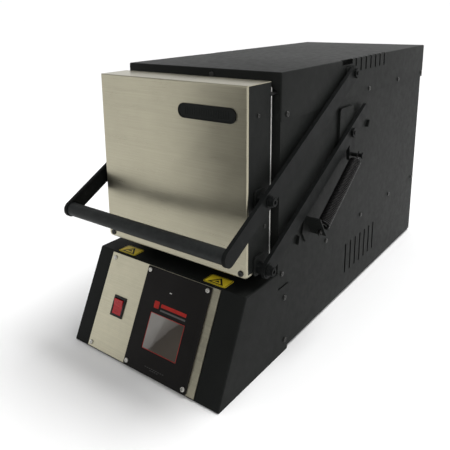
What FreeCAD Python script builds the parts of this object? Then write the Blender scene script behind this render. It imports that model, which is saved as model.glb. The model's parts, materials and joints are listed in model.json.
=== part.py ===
"""Front-loading box kiln with a lift-up door on a parallel linkage.

X runs across the kiln, Y from the front lip to the back and Z up.  Every shape is made with Y = 0 at
the front lip of the control housing, and save() moves all of them so that the origin is the centre of
the base of the whole kiln.
The right side is modelled and the left side is its mirror image.
"""
import FreeCAD
import Part
import math
import os

V = FreeCAD.Vector

# ---- driving dimensions, mm -------------------------------------------------------------------
SHEET = 1.2                 # folded steel sheet
BODY_HALF = 148.5           # outside of the side panels
BODY_FRONT = 159.4
BODY_REAR = 805.0
BODY_FLOOR = 3.0
COVER_HALF = 150.0          # outside of the top cover and of the control housing
COVER_TOP = 453.7
COVER_SKIRT = 71.0
COVER_REAR = 812.0
LEDGE_Y, LEDGE_Z = 71.0, 146.0      # where the sloped front meets the flat ledge
HOUSING_REAR = 192.0
HOUSING_STEP = 117.5        # height of the housing's sides behind the ledge
CHAMBER = (140.0, 560.0, 110.0)     # clear firing space, width, depth, height
CHAMBER_Z = 249.0
BRICK = 63.5                # insulating firebrick thickness
DOOR_HALF = 142.0
DOOR_FRONT, DOOR_REAR = 84.5, 143.6
DOOR_BOTTOM, DOOR_TOP = 163.7, 442.5
ARM_SLOPE = 28.14           # fall of the lifting arms towards the front, degrees
BAR_WIDTH, BAR_INNER, BAR_OUTER = 25.4, 154.0, 160.0
PIVOT_Y, UPPER_PIVOT_Z, LOWER_PIVOT_Z = 396.0, 430.0, 325.0
ARM_LENGTH = 320.9          # pivot to pivot
GRIP_REACH = 107.0          # from the door pivot on to the grip
GRIP_RADIUS = 11.0
TAIL = 66.0                 # lower link behind its pivot
SPRING_X, SPRING_RADIUS, SPRING_WIRE = 171.6, 11.0, 3.0
SPRING_STUD_END = SPRING_X + 9.4     # outer end of the studs and brackets that hold the springs
SPRING_FOOT = (256.0, 190.0)        # where the eye bolt passes its bracket, Y and Z
CRANK = (1.0, -40.0)        # spring stud from the lower pivot, Y and Z
PIVOT_RADIUS, RUNNING_FIT, OPEN_FIT = 5.0, 0.05, 0.6
PITCH, VENT_WIDTH = 23.0, 5.4       # of the ventilation slots
GLAND = (-95.0, 60.0, 18.0)         # X, Z and how far it stands out
PAD_HALF, PAD_BOTTOM, PAD_TOP = 137.0, 175.0, 434.0     # fibre pad behind the door
PAD_STEP, PAD_SET_BACK = 3.0, 4.1   # width and depth of the step round the pad's edge
PLUNGER = (139.9, 424.0)            # door switch, X and Z

SLOPE = math.degrees(math.atan2(LEDGE_Z, LEDGE_Y))
DOWN_ARM = (-math.cos(math.radians(ARM_SLOPE)), -math.sin(math.radians(ARM_SLOPE)))
UPPER_PIVOT = (PIVOT_Y, UPPER_PIVOT_Z)
LOWER_PIVOT = (PIVOT_Y, LOWER_PIVOT_Z)

nodes = {}


# ---- helpers ----------------------------------------------------------------------------------
def box(x0, x1, y0, y1, z0, z1):
    return Part.makeBox(x1 - x0, y1 - y0, z1 - z0, V(x0, y0, z0))


def rod(radius, start, direction, length):
    return Part.makeCylinder(radius, length, V(*start), V(*direction))


def hexagon(across, start, direction, length):
    """A hexagonal prism, as a nut or a bolt head."""
    radius = across / math.sqrt(3)
    turns = [k * math.pi / 3 for k in range(7)]
    points = [V(radius * math.cos(turn), radius * math.sin(turn), 0) for turn in turns]
    prism = Part.Face(Part.makePolygon(points)).extrude(V(0, 0, length))
    prism.Placement = FreeCAD.Placement(V(*start), FreeCAD.Rotation(V(0, 0, 1), V(*direction)))
    return prism


def prism(points, x0, x1):
    """A YZ outline drawn out along X."""
    wire = Part.makePolygon([V(x0, y, z) for y, z in points + points[:1]])
    return Part.Face(wire).extrude(V(x1 - x0, 0, 0))


def fillet(shape, radius, wanted):
    """Rounds the edges whose middle point satisfies wanted(x, y, z)."""
    def middle(edge):
        return edge.valueAt((edge.FirstParameter + edge.LastParameter) / 2)
    edges = [e for e in shape.Edges if wanted(middle(e).x, middle(e).y, middle(e).z)]
    return shape.makeFillet(radius, edges)


def fuse(*shapes):
    return shapes[0].multiFuse(list(shapes[1:])).removeSplitter()


def cut(shape, tools):
    return shape.cut(Part.makeCompound(list(tools)))


def along(point, direction, distance):
    return (point[0] + direction[0] * distance, point[1] + direction[1] * distance)


def bar(start, end, width, x0, x1):
    """A flat bar between two YZ points, with round ends centred on them."""
    length = math.hypot(end[0] - start[0], end[1] - start[1])
    side = ((start[1] - end[1]) / length * width / 2, (end[0] - start[0]) / length * width / 2)
    corners = [along(start, side, 1), along(end, side, 1), along(end, side, -1), along(start, side, -1)]
    ends = [rod(width / 2, (x0, *p), (1, 0, 0), x1 - x0) for p in (start, end)]
    return fuse(prism(corners, x0, x1), *ends)


def crosswise(radius, point, x0, x1):
    """A round bar or hole along X at a YZ point."""
    return rod(radius, (x0, *point), (1, 0, 0), x1 - x0)


def mirrored(shape):
    return shape.mirror(V(0, 0, 0), V(1, 0, 0))


def pair(name, shape):
    """A right-hand piece and its mirror image, as two nodes."""
    nodes[name + "_right"] = shape
    nodes[name + "_left"] = mirrored(shape)


def on_slope(shape):
    """Lays a shape drawn flat (X, up the slope, outwards) onto the sloped front."""
    shape.rotate(V(0, 0, 0), V(1, 0, 0), SLOPE)
    return shape


def screw(point, direction, head=3.6, rise=2.2, shank=1.8, reach=8.0):
    """A pan-head screw with a cross recess; the point lies on the clamped surface."""
    body = rod(head, (0, 0, 0), (0, 0, 1), rise)
    body = fillet(body, rise * 0.6, lambda x, y, z: z > rise - 0.01)
    recess = head * 0.55
    cross = [box(-recess, recess, -0.4, 0.4, rise - 0.8, rise + 1),
             box(-0.4, 0.4, -recess, recess, rise - 0.8, rise + 1)]
    body = fuse(cut(body, cross), rod(shank, (0, 0, -reach), (0, 0, 1), reach + 0.2))
    body.Placement = FreeCAD.Placement(V(*point), FreeCAD.Rotation(V(0, 0, 1), V(*direction)))
    return body


SCREW_HOLE = 2.0


# ---- case -------------------------------------------------------------------------------------
SIDE_ROWS = {
    "case": [(y, 140.5) for y in (172.0, 327.0, 482.0, 637.0, 790.0)],
    "cover": [(y, 392.0) for y in (176.0, 332.0, 487.0, 646.0, 800.0)],
    "housing": [(179.0, 97.0), (182.0, 21.0)],
}
HOOKS = [(487.4, 325.1, 65.0), (217.5, 181.0, 75.0)]    # Y, Z and tilt of two pressed-out hooks
FRONT_SCREW = (28.0, 444.0)         # X and Z, on the cover's front skirt
VENT_Y = [416.5 + PITCH * k for k in range(7)]
TRAY_X, TRAY_Y, TRAY_Z = 138.0, (352.0, 566.0), (424.0, 451.5)      # trays that close the cover's slots
BRICK_HALF = CHAMBER[0] / 2 + BRICK
BRICK_LOW, BRICK_HIGH = CHAMBER_Z - BRICK, CHAMBER_Z + CHAMBER[2] + BRICK
BRICK_REAR = BODY_FRONT + CHAMBER[1] + BRICK
SHELF_Z = 140.0


def side_holes(rows):
    reach = COVER_HALF + 1
    return [crosswise(SCREW_HOLE, point, -reach, reach) for row in rows for point in SIDE_ROWS[row]]


def make_body_case():
    """Side panels and floor folded from one sheet."""
    inner = BODY_HALF - SHEET
    outer = box(-BODY_HALF, BODY_HALF, BODY_FRONT, BODY_REAR, BODY_FLOOR, 452.0)
    outer = fillet(outer, 2.5, lambda x, y, z: abs(x) > inner and z < BODY_FLOOR + 0.01)
    space = box(-inner, inner, BODY_FRONT - 1, BODY_REAR + 1, BODY_FLOOR + SHEET, 460.0)
    notch = box(-200, 200, BODY_FRONT - 1, HOUSING_REAR + 0.4, 0, HOUSING_STEP + 0.5)
    half_slot = VENT_WIDTH / 2
    vents = [box(-200, 200, y - half_slot, y + half_slot, 42.0, 101.0) for y in VENT_Y]
    (start, end), (low, high) = TRAY_Y, TRAY_Z
    behind_slots = box(-200, 200, start + 4, end - 4, low + 3, 460)
    case = cut(outer, [space, notch, behind_slots] + vents + side_holes(["case", "cover"]))
    tray = fuse(box(TRAY_X, TRAY_X + SHEET, start, end, low, high),
                box(TRAY_X, inner + SHEET / 2, start, end, low, low + SHEET))
    added = [tray] + [case_hook(*hook) for hook in HOOKS]
    return fuse(case, *added, *[mirrored(shape) for shape in added])


def case_hook(y, z, tilt):
    """A tab pressed out of the side panel, with its lip turned up."""
    stem = box(BODY_HALF - 0.4, BODY_HALF + 5.0, -1, 1, -7, 7)
    lip = box(BODY_HALF + 3.6, BODY_HALF + 5.0, -1, 4, -7, 7)
    hook = fuse(stem, lip)
    hook.rotate(V(0, 0, 0), V(1, 0, 0), tilt - 90)
    hook.translate(V(0, y, z))
    return hook


def make_rear_panel():
    panel = box(-147.2, 147.2, BODY_REAR - SHEET, BODY_REAR, BODY_FLOOR + SHEET + 0.1, 452.0)
    louvres = [box(x - 2, x + 2, 800, 810, 40, 85) for x in range(-50, 130, 20)]
    gland_hole = rod(8.0, (GLAND[0], 800, GLAND[1]), (0, 1, 0), 10)
    return cut(panel, louvres + [gland_hole])


def make_front_frame():
    """Face of the case round the brick mouth."""
    panel = box(-147.2, 147.2, BODY_FRONT, BODY_FRONT + SHEET, HOUSING_STEP + 1, 452.0)
    mouth = box(-BRICK_HALF - 0.5, BRICK_HALF + 0.5, 150, 170, BRICK_LOW - 0.5, BRICK_HIGH + 0.5)
    plunger_hole = rod(2.6, (PLUNGER[0], 150, PLUNGER[1]), (0, 1, 0), 20)
    return cut(panel, [mouth, plunger_hole])


def make_top_cover():
    front = BODY_FRONT - SHEET - 0.3
    low = COVER_TOP - COVER_SKIRT
    outer = box(-COVER_HALF, COVER_HALF, front, COVER_REAR, low, COVER_TOP)
    outer = fillet(outer, 2.2, lambda x, y, z: z > COVER_TOP - 0.01 or
                   (abs(x) > COVER_HALF - 0.01 and abs(z - (low + COVER_TOP) / 2) < 1))
    inner = COVER_HALF - SHEET
    space = box(-inner, inner, front + SHEET, COVER_REAR - SHEET, low - 1, COVER_TOP - SHEET)
    x, z = PLUNGER
    door_room = [box(-PAD_HALF - 2, PAD_HALF + 2, front - 1, front + SHEET + 1, low - 1, PAD_TOP + 2),
                 rod(3.5, (x, front - 1, z), (0, 1, 0), 4)]
    vents = []
    for y in VENT_Y:
        for side in (-1, 1):
            x0, x1 = sorted((side * 143.0, side * 152.0))
            vents.append(box(x0, x1, y, y + VENT_WIDTH, 430.0, 456.0))
    for side in (-1, 1):
        x0, x1 = sorted((side * 145.5, side * 152.0))
        vents.append(box(x0, x1, 361.0, 404.0, 445.0, 456.0))
    hole = rod(SCREW_HOLE, (FRONT_SCREW[0], front - 1, FRONT_SCREW[1]), (0, 1, 0), 4)
    return cut(outer, [space, hole] + door_room + vents + side_holes(["cover"]))


def make_control_housing():
    """Sloped box under the door, open at the back."""
    outline = [(0, 0), (HOUSING_REAR, 0), (HOUSING_REAR, HOUSING_STEP), (159.0, HOUSING_STEP),
               (159.0, LEDGE_Z), (LEDGE_Y, LEDGE_Z)]
    outer = prism(outline, -COVER_HALF, COVER_HALF)
    outer = fillet(outer, 2.5, lambda x, y, z: y < 115.1 and (z < 0.01 or z > LEDGE_Z - 0.01 or y < 36)
                   and not (z < 0.01 and y > 0.01))
    run = math.radians(SLOPE)
    def slope_y(z):
        return SHEET * math.sin(run) + (z + SHEET * math.cos(run)) / math.tan(run)
    low, high = SHEET, LEDGE_Z - SHEET
    inside = [(slope_y(low), low), (200, low), (200, high), (slope_y(high), high)]
    space = prism(inside, -COVER_HALF + SHEET, COVER_HALF - SHEET)
    windows = [on_slope(shape) for shape in front_windows()]
    return cut(outer, [space] + windows + side_holes(["housing"]) + fascia_holes(SCREW_HOLE))


def front_windows(depth=-3.0):
    """Cut-outs for the controller and the switch, drawn flat."""
    x, s = ROCKER
    return [box(-18, 78, 28, 128, depth, 3), box(x - 11.5, x + 11.5, s - 14.5, s + 14.5, depth, 3)]


# ---- control panel ----------------------------------------------------------------------------
FASCIA = (-117.0, 107.0, 4.0, 160.0)
CONTROLLER = (-33.0, 93.0, 4.5, 159.5)
SCREEN = (-5.5, 63.2, 38.0, 94.0)
ROCKER = (-74.0, 79.5)
FASCIA_RISE, CONTROLLER_RISE = 1.5, 3.5
FASCIA_SCREWS = [(-109.0, 152.0), (-111.0, 10.0)]
CONTROLLER_SCREWS = [(-27.0, 153.5), (87.0, 153.5), (-27.0, 10.5), (87.0, 10.5)]


def fascia_holes(radius):
    points = FASCIA_SCREWS + CONTROLLER_SCREWS
    return [on_slope(rod(radius, (x, s, -9), (0, 0, 1), 15)) for x, s in points]


def make_control_panel():
    x0, x1, s0, s1 = FASCIA
    fascia = cut(box(x0, x1, s0, s1, 0, FASCIA_RISE), front_windows())
    nodes["steel_fascia"] = cut(on_slope(fascia), fascia_holes(SCREW_HOLE))

    x0, x1, s0, s1 = CONTROLLER
    plate = box(x0, x1, s0, s1, FASCIA_RISE, CONTROLLER_RISE)
    plate = fillet(plate, 2.0, lambda x, y, z: abs(z - 2.5) < 0.1)
    sx0, sx1, ss0, ss1 = SCREEN
    plate = plate.cut(box(sx0, sx1, ss0, ss1, 0, 9))
    nodes["controller_plate"] = cut(on_slope(plate), fascia_holes(SCREW_HOLE))
    gap = 0.3
    glass = box(sx0 + gap, sx1 - gap, ss0 + gap, ss1 - gap, FASCIA_RISE - 0.5, CONTROLLER_RISE - 0.4)
    nodes["touch_screen"] = on_slope(glass)
    board = box(-14, 74, 31, 125, -14.0, -12.4)
    display = box(-8, 66, 34, 98, -9.0, -1.0)
    posts = [rod(2.5, (x, s, -12.4), (0, 0, 1), 3.4) for x in (-4, 62) for s in (38, 94)]
    chips = [box(0, 22, 104, 120, -12.4, -8.0), box(34, 62, 104, 118, -12.4, -6.0)]
    nodes["controller_board"] = on_slope(fuse(board, display, *posts, *chips))

    screws = [on_slope(screw((x, s, FASCIA_RISE), (0, 0, 1))) for x, s in FASCIA_SCREWS]
    screws += [on_slope(screw((x, s, CONTROLLER_RISE), (0, 0, 1))) for x, s in CONTROLLER_SCREWS]
    nodes["fascia_screws"] = Part.makeCompound(screws)


ROCKER_AXIS_RISE = -1.5
ROCKER_TILT = 7.0


def make_rocker():
    """Mains switch: a framed body and a key that tips about a pin across it."""
    cx, cs = ROCKER
    frame = box(cx - 13, cx + 13, cs - 16.5, cs + 16.5, FASCIA_RISE, 3.8)
    frame = fillet(frame, 1.0, lambda x, y, z: z > 3.79)
    body = box(cx - 11, cx + 11, cs - 14, cs + 14, -15.0, FASCIA_RISE)
    well = box(cx - 9.8, cx + 9.8, cs - 12.9, cs + 12.9, -11.0, 9)
    pin_holes = rod(1.55, (cx - 11, cs, ROCKER_AXIS_RISE), (1, 0, 0), 22)
    nodes["rocker_bezel"] = on_slope(cut(fuse(frame, body), [well, pin_holes]))
    outline = [(-8.5, -7.5), (8.5, -7.5), (12.2, 1.5), (12.2, 4.6), (0, 3.4), (-12.2, 4.6), (-12.2, 1.5)]
    key = prism([(cs + y, z) for y, z in outline], cx - 9.5, cx + 9.5)
    pin = rod(1.5, (cx - 10.9, cs, ROCKER_AXIS_RISE), (1, 0, 0), 21.8)
    key = fuse(key, pin)
    key.rotate(V(cx, cs, ROCKER_AXIS_RISE), V(1, 0, 0), ROCKER_TILT)
    nodes["rocker_key"] = on_slope(key)


def make_caution_plates():
    plates = []
    for x0, x1 in ((-112.0, -74.0), (69.0, 110.0)):
        plate = box(x0, x1, 74.5, 99.5, LEDGE_Z, LEDGE_Z + 0.4)
        plates.append(fillet(plate, 3.0, lambda x, y, z: abs(z - LEDGE_Z - 0.2) < 0.05))
    nodes["caution_plates"] = Part.makeCompound(plates)


# ---- firing chamber ---------------------------------------------------------------------------
ELEMENT_ROWS = (275.0, 304.0, 333.0)
ELEMENT_FRONT, ELEMENT_REAR = 190.0, 690.0
ELEMENT_X = CHAMBER[0] / 2 + 6.0
CHAMBER_REAR = BODY_FRONT + CHAMBER[1]


def element_path(radius):
    """Three runs along the wall joined at their ends, on the right."""
    low, middle, high = ELEMENT_ROWS
    length = ELEMENT_REAR - ELEMENT_FRONT
    runs = [rod(radius, (ELEMENT_X, ELEMENT_FRONT, z), (0, 1, 0), length) for z in ELEMENT_ROWS]
    runs.append(rod(radius, (ELEMENT_X, ELEMENT_REAR, low), (0, 0, 1), middle - low))
    runs.append(rod(radius, (ELEMENT_X, ELEMENT_FRONT, middle), (0, 0, 1), high - middle))
    corners = [(ELEMENT_REAR, low), (ELEMENT_REAR, middle), (ELEMENT_FRONT, middle), (ELEMENT_FRONT, high)]
    balls = [Part.makeSphere(radius, V(ELEMENT_X, y, z)) for y, z in corners]
    return fuse(*(runs + balls))


def element_leads(radius, reach):
    """The two ends of an element: out through the back wall, and down through the hearth."""
    low, high = ELEMENT_ROWS[0], ELEMENT_ROWS[2]
    rear = rod(radius, (ELEMENT_X, ELEMENT_REAR, high), (0, 1, 0), reach - ELEMENT_REAR)
    down = rod(radius, (ELEMENT_X, ELEMENT_FRONT, low), (0, 0, -1), low - 128.0)
    return [rear, down]


def make_chamber():
    half, top = CHAMBER[0] / 2, CHAMBER_Z + CHAMBER[2]
    front = BODY_FRONT + 0.1
    grooves = [element_path(8.0)] + element_leads(4.0, BRICK_REAR + 1)
    wall = cut(box(half, BRICK_HALF, front, BRICK_REAR, CHAMBER_Z, top), grooves)
    pair("wall_bricks", wall)
    lead_holes = [element_leads(4.0, BRICK_REAR)[1]]
    lead_holes.append(mirrored(lead_holes[0]))
    hearth = box(-BRICK_HALF, BRICK_HALF, front, BRICK_REAR, BRICK_LOW, CHAMBER_Z)
    nodes["hearth_bricks"] = cut(hearth, lead_holes)
    nodes["roof_bricks"] = box(-BRICK_HALF, BRICK_HALF, front, BRICK_REAR, top, BRICK_HIGH)
    probe_hole = rod(4.6, (0, CHAMBER_REAR - 1, 330), (0, 1, 0), BRICK + 2)
    nodes["rear_brick"] = cut(box(-half, half, CHAMBER_REAR, BRICK_REAR, CHAMBER_Z, top), [probe_hole])

    inside, behind_frame = BODY_HALF - SHEET - 0.3, BODY_FRONT + SHEET + 0.1
    wrap = box(-inside, inside, behind_frame, 803.0, SHELF_Z + SHEET, 451.8)
    core = box(-BRICK_HALF, BRICK_HALF, 150, BRICK_REAR, BRICK_LOW, BRICK_HIGH)
    switch_room = box(BRICK_HALF, 148, 150, 190, 395, 452)
    clear = [core, switch_room, rod(10.0, (0, BRICK_REAR - 1, 330), (0, 1, 0), 30)]
    tray_room = box(TRAY_X - 0.3, 148, TRAY_Y[0] - 1, TRAY_Y[1] + 1, TRAY_Z[0] - 0.3, 453)
    clear += [tray_room, mirrored(tray_room)]
    lead_room = []
    for lead in element_leads(5.0, 804.0):
        lead_room += [lead, mirrored(lead)]
    nodes["insulation_wrap"] = cut(wrap, clear + lead_room)
    shelf = box(-inside, inside, behind_frame, 803.0, SHELF_Z, SHELF_Z + SHEET)
    nodes["chamber_shelf"] = cut(shelf, lead_room)

    pair("element", fuse(element_path(5.0), *element_leads(3.0, 798.0)))
    sleeve = rod(4.2, (0, 690, 330), (0, 1, 0), 108)
    nodes["thermocouple"] = fuse(sleeve, rod(9.0, (0, 789, 330), (0, 1, 0), 9))


# ---- electrical parts in the base -------------------------------------------------------------
def make_electrics():
    floor = BODY_FLOOR + SHEET
    core = box(-105, -45, 240, 284, floor, floor + 50)
    coil = cut(box(-98, -52, 230, 294, floor + 6, floor + 44), [box(-99, -51, 240, 284, 0, 100)])
    nodes["transformer"] = Part.makeCompound([core] + coil.Solids)
    relays = []
    for x in (20.0, 70.0):
        base = box(x, x + 32, 240, 290, floor, floor + 24)
        relays.append(fuse(base, box(x + 4, x + 28, 246, 284, floor + 24, floor + 30)))
    nodes["relays"] = Part.makeCompound(relays)
    block = box(-125, -45, 740, 764, floor, floor + 16)
    wells = [rod(3.4, (x, 752, floor + 8), (0, 0, 1), 10) for x in range(-115, -50, 15)]
    nodes["terminal_block"] = cut(block, wells)
    spots = [(x, y, 0) for x in (-120.0, 120.0) for y in (230.0, 500.0, 780.0)]
    nodes["rubber_feet"] = Part.makeCompound([rod(12.0, spot, (0, 0, 1), BODY_FLOOR) for spot in spots])
    x, z, reach = GLAND
    bore = rod(5.0, (x, 780, z), (0, 1, 0), 60)
    gland = fuse(hexagon(22.0, (x, BODY_REAR, z), (0, 1, 0), 6),
                 rod(10.0, (x, BODY_REAR, z), (0, 1, 0), reach),
                 rod(7.8, (x, BODY_REAR - 10, z), (0, 1, 0), 12),
                 hexagon(20.0, (x, BODY_REAR - SHEET - 5, z), (0, 1, 0), 5))
    nodes["cable_gland"] = cut(gland, [bore])


def make_door_switch():
    """Cuts the power when the door opens: a switch behind the frame with a sprung plunger."""
    x, z = PLUNGER
    front = BODY_FRONT + SHEET
    body = box(x - 5, x + 7, front, front + 28, z - 14, z + 14)
    nodes["door_switch"] = cut(body, [rod(2.6, (x, 150, z), (0, 1, 0), 32)])
    plunger = rod(2.5, (x, DOOR_REAR + 0.3, z), (0, 1, 0), 32)
    nodes["switch_plunger"] = fillet(plunger, 1.2, lambda x, y, z: y < DOOR_REAR + 0.31)


# ---- lifting linkage --------------------------------------------------------------------------
UPPER_DOOR = along(UPPER_PIVOT, DOWN_ARM, ARM_LENGTH)
LOWER_DOOR = along(LOWER_PIVOT, DOWN_ARM, ARM_LENGTH)
GRIP = along(UPPER_DOOR, DOWN_ARM, GRIP_REACH)
CRANK_END = (LOWER_PIVOT[0] + CRANK[0], LOWER_PIVOT[1] + CRANK[1])
SPRING_LENGTH = math.dist(SPRING_FOOT, CRANK_END)
UP_SPRING = tuple((e - s) / SPRING_LENGTH for s, e in zip(SPRING_FOOT, CRANK_END))
ACROSS_SPRING = (-UP_SPRING[1], UP_SPRING[0])


def make_arms():
    arm = bar(UPPER_PIVOT, GRIP, BAR_WIDTH, BAR_INNER, BAR_OUTER)
    holes = [crosswise(PIVOT_RADIUS + RUNNING_FIT, p, 150, 165) for p in (UPPER_PIVOT, UPPER_DOOR)]
    pair("lift_arm", cut(arm, holes))
    tube = crosswise(GRIP_RADIUS, GRIP, -BAR_INNER, BAR_INNER)
    nodes["grip_tube"] = tube.cut(crosswise(GRIP_RADIUS - 2, GRIP, -BAR_INNER, BAR_INNER))

    link = bar(along(LOWER_PIVOT, DOWN_ARM, -TAIL), LOWER_DOOR, BAR_WIDTH, BAR_INNER, BAR_OUTER)
    crank = bar(LOWER_PIVOT, CRANK_END, 24.0, BAR_INNER, BAR_OUTER)
    holes = [crosswise(PIVOT_RADIUS + RUNNING_FIT, LOWER_PIVOT, 150, 165),
             crosswise(PIVOT_RADIUS + OPEN_FIT, LOWER_DOOR, 150, 165)]
    pair("lower_link", cut(fuse(link, crank), holes))
    stud = fuse(crosswise(3.5, CRANK_END, BAR_OUTER, SPRING_STUD_END),
                crosswise(6.0, CRANK_END, SPRING_STUD_END - 2.4, SPRING_STUD_END))
    pair("spring_stud", stud)


PLATE_FACE, BRACKET_FACE = 153.0, 145.0
UPPER_PLATE, LOWER_PLATE = (374, 414, 410, 441), (356, 412, 299, 372)       # Y from and to, Z from and to
DOOR_BRACKETS = [(99, 127, DOOR_BOTTOM, 194), (99, 127, 264, 294)]


def make_pivots():
    """Plate and studs on the case, and the brackets and studs on the door."""
    upper = box(COVER_HALF, PLATE_FACE, *UPPER_PLATE)
    lower = box(BODY_HALF, PLATE_FACE, *LOWER_PLATE)
    plates = [fillet(plate, 6.0, lambda x, y, z: x not in (BODY_HALF, COVER_HALF, PLATE_FACE))
              for plate in (upper, lower)]
    pair("pivot_plate", Part.makeCompound(plates))
    studs = []
    for point in (UPPER_PIVOT, LOWER_PIVOT):
        stud = fuse(crosswise(PIVOT_RADIUS, point, PLATE_FACE, 163),
                    crosswise(8.0, point, PLATE_FACE, PLATE_FACE + 0.6),
                    hexagon(15.0, (BAR_OUTER + 0.5, *point), (1, 0, 0), 3.5),
                    crosswise(3.6, point, 163, 165.5))
        studs.append(stud)
    pair("case_studs", Part.makeCompound(studs))

    middle = (DOOR_HALF + BRACKET_FACE) / 2
    brackets = [fillet(box(DOOR_HALF, BRACKET_FACE, *extent), 5.0, lambda x, y, z: abs(x - middle) < 0.1)
                for extent in DOOR_BRACKETS]
    pair("door_brackets", Part.makeCompound(brackets))
    studs = []
    for point in (UPPER_DOOR, LOWER_DOOR):
        stud = fuse(hexagon(17.0, (BRACKET_FACE, *point), (1, 0, 0), 7.0), crosswise(8.0, point, 152, 153.5),
                    crosswise(PIVOT_RADIUS, point, 153.5, 165),
                    crosswise(9.5, point, BAR_OUTER + 0.4, BAR_OUTER + 1.6),
                    hexagon(14.5, (BAR_OUTER + 1.6, *point), (1, 0, 0), 4.5),
                    crosswise(6.2, point, 166, 169.5))
        studs.append(stud.cut(crosswise(2.8, point, 167, 170)))
    pair("door_studs", Part.makeCompound(studs))


def at_spring(distance, aside=0.0):
    """YZ point that far up the spring from its foot, and that far across it."""
    return along(along(SPRING_FOOT, UP_SPRING, distance), ACROSS_SPRING, aside)


def make_springs():
    corners = [at_spring(-1.5, -12), at_spring(1.5, -12), at_spring(1.5, 30), at_spring(-1.5, 30)]
    web = prism(corners, BODY_HALF, SPRING_X + 7)
    axis = (0, *UP_SPRING)
    web = web.cut(rod(3.2, (SPRING_X, *at_spring(-5)), axis, 10))
    corners = [at_spring(-22, -10), at_spring(-1.5, -12), at_spring(-1.5, 30), at_spring(-22, 12)]
    flange = prism(corners, BODY_HALF, 151.5)
    pair("spring_bracket", fuse(web, flange))

    coil_start, coil_end = 9.0, SPRING_LENGTH - 9.5
    coil = rod(SPRING_RADIUS, (SPRING_X, *at_spring(coil_start)), axis, coil_end - coil_start)
    coil = coil.cut(rod(SPRING_RADIUS - SPRING_WIRE, (SPRING_X, *at_spring(coil_start)), axis,
                        coil_end - coil_start - SPRING_WIRE))
    bolt = rod(2.0, (SPRING_X, *at_spring(-10)), axis, coil_end + 9)
    nut = hexagon(8.0, (SPRING_X, *at_spring(-7)), axis, 4.0)
    plug = hexagon(15.2, (SPRING_X, *at_spring(coil_start - 2)), axis, 14)
    ring = Part.makeTorus(5.7, 1.5, V(SPRING_X, *CRANK_END), V(1, 0, 0))
    neck = rod(1.2, (SPRING_X, *at_spring(coil_end - 1)), axis, SPRING_LENGTH - 5.4 - coil_end + 1)
    pair("spring", fuse(coil, bolt, nut, plug, ring, neck))


# ---- door -------------------------------------------------------------------------------------
SKIN = 1.0
DOOR_FRONT_SCREWS = [(-131.0, 171.5), (131.0, 171.5)]
DOOR_SIDE_SCREWS = [(110.6, 399.0), (129.7, 232.0)]


def door_block(inset):
    """The door's outside, shrunk by inset at the front, top and bottom."""
    block = box(-DOOR_HALF, DOOR_HALF, DOOR_FRONT + inset, DOOR_REAR, DOOR_BOTTOM + inset, DOOR_TOP - inset)
    low = DOOR_BOTTOM + inset + 0.01
    block = fillet(block, 6.0, lambda x, y, z: abs(x) > DOOR_HALF - 0.01 and z < low)
    return fillet(block, 2.5 - inset, lambda x, y, z: y < DOOR_FRONT + inset + 0.01 and abs(x) < 1)


def make_door():
    holes = [rod(SCREW_HOLE, (x, 80, z), (0, 1, 0), 8) for x, z in DOOR_FRONT_SCREWS]
    holes += [crosswise(SCREW_HOLE, point, -DOOR_HALF - 1, DOOR_HALF + 1) for point in DOOR_SIDE_SCREWS]
    outer = door_block(0.0)
    inner = door_block(SKIN)
    nodes["door_skin"] = cut(outer.cut(inner), holes)
    hollow = box(-DOOR_HALF + SHEET, DOOR_HALF - SHEET, DOOR_FRONT + SKIN + SHEET, DOOR_REAR + 1,
                 DOOR_BOTTOM + SKIN + SHEET, DOOR_TOP - SKIN - SHEET)
    hollow = fillet(hollow, 5.0, lambda x, y, z: abs(x) > DOOR_HALF - 2 and z < DOOR_BOTTOM + 3)
    nodes["door_case"] = cut(inner.cut(hollow), holes)
    gap = 0.2
    fill = box(-DOOR_HALF + SHEET + gap, DOOR_HALF - SHEET - gap, DOOR_FRONT + 9, DOOR_REAR,
               DOOR_BOTTOM + 10, DOOR_TOP - 3)
    rear, step = BODY_FRONT - 0.5, PAD_STEP
    pad = box(-PAD_HALF, PAD_HALF, DOOR_REAR - 1, rear - PAD_SET_BACK, PAD_BOTTOM, PAD_TOP)
    seat = box(step - PAD_HALF, PAD_HALF - step, DOOR_REAR, rear, PAD_BOTTOM + step, PAD_TOP - step)
    pad = fillet(pad, 4.0, lambda x, y, z: abs(x) > PAD_HALF - 0.1 and not PAD_BOTTOM + 1 < z < PAD_TOP - 1)
    nodes["door_insulation"] = cut(fuse(fill, pad, seat), [crosswise(3, p, -150, -130) for p in DOOR_SIDE_SCREWS]
                                   + [crosswise(3, p, 130, 150) for p in DOOR_SIDE_SCREWS])
    badge = box(22, 124, DOOR_FRONT - 2, DOOR_FRONT, 389, 411)
    nodes["door_badge"] = fillet(badge, 10.5, lambda x, y, z: abs(y - DOOR_FRONT + 1) < 0.1)
    front = {"head": 4.6, "rise": 2.2, "reach": 6.0}
    screws = [screw((x, DOOR_FRONT, z), (0, -1, 0), **front) for x, z in DOOR_FRONT_SCREWS]
    for point in DOOR_SIDE_SCREWS:
        side = screw((DOOR_HALF, *point), (1, 0, 0), head=3.0, rise=1.6, reach=6.0)
        screws += [side, mirrored(side)]
    nodes["door_screws"] = Part.makeCompound(screws)


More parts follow.
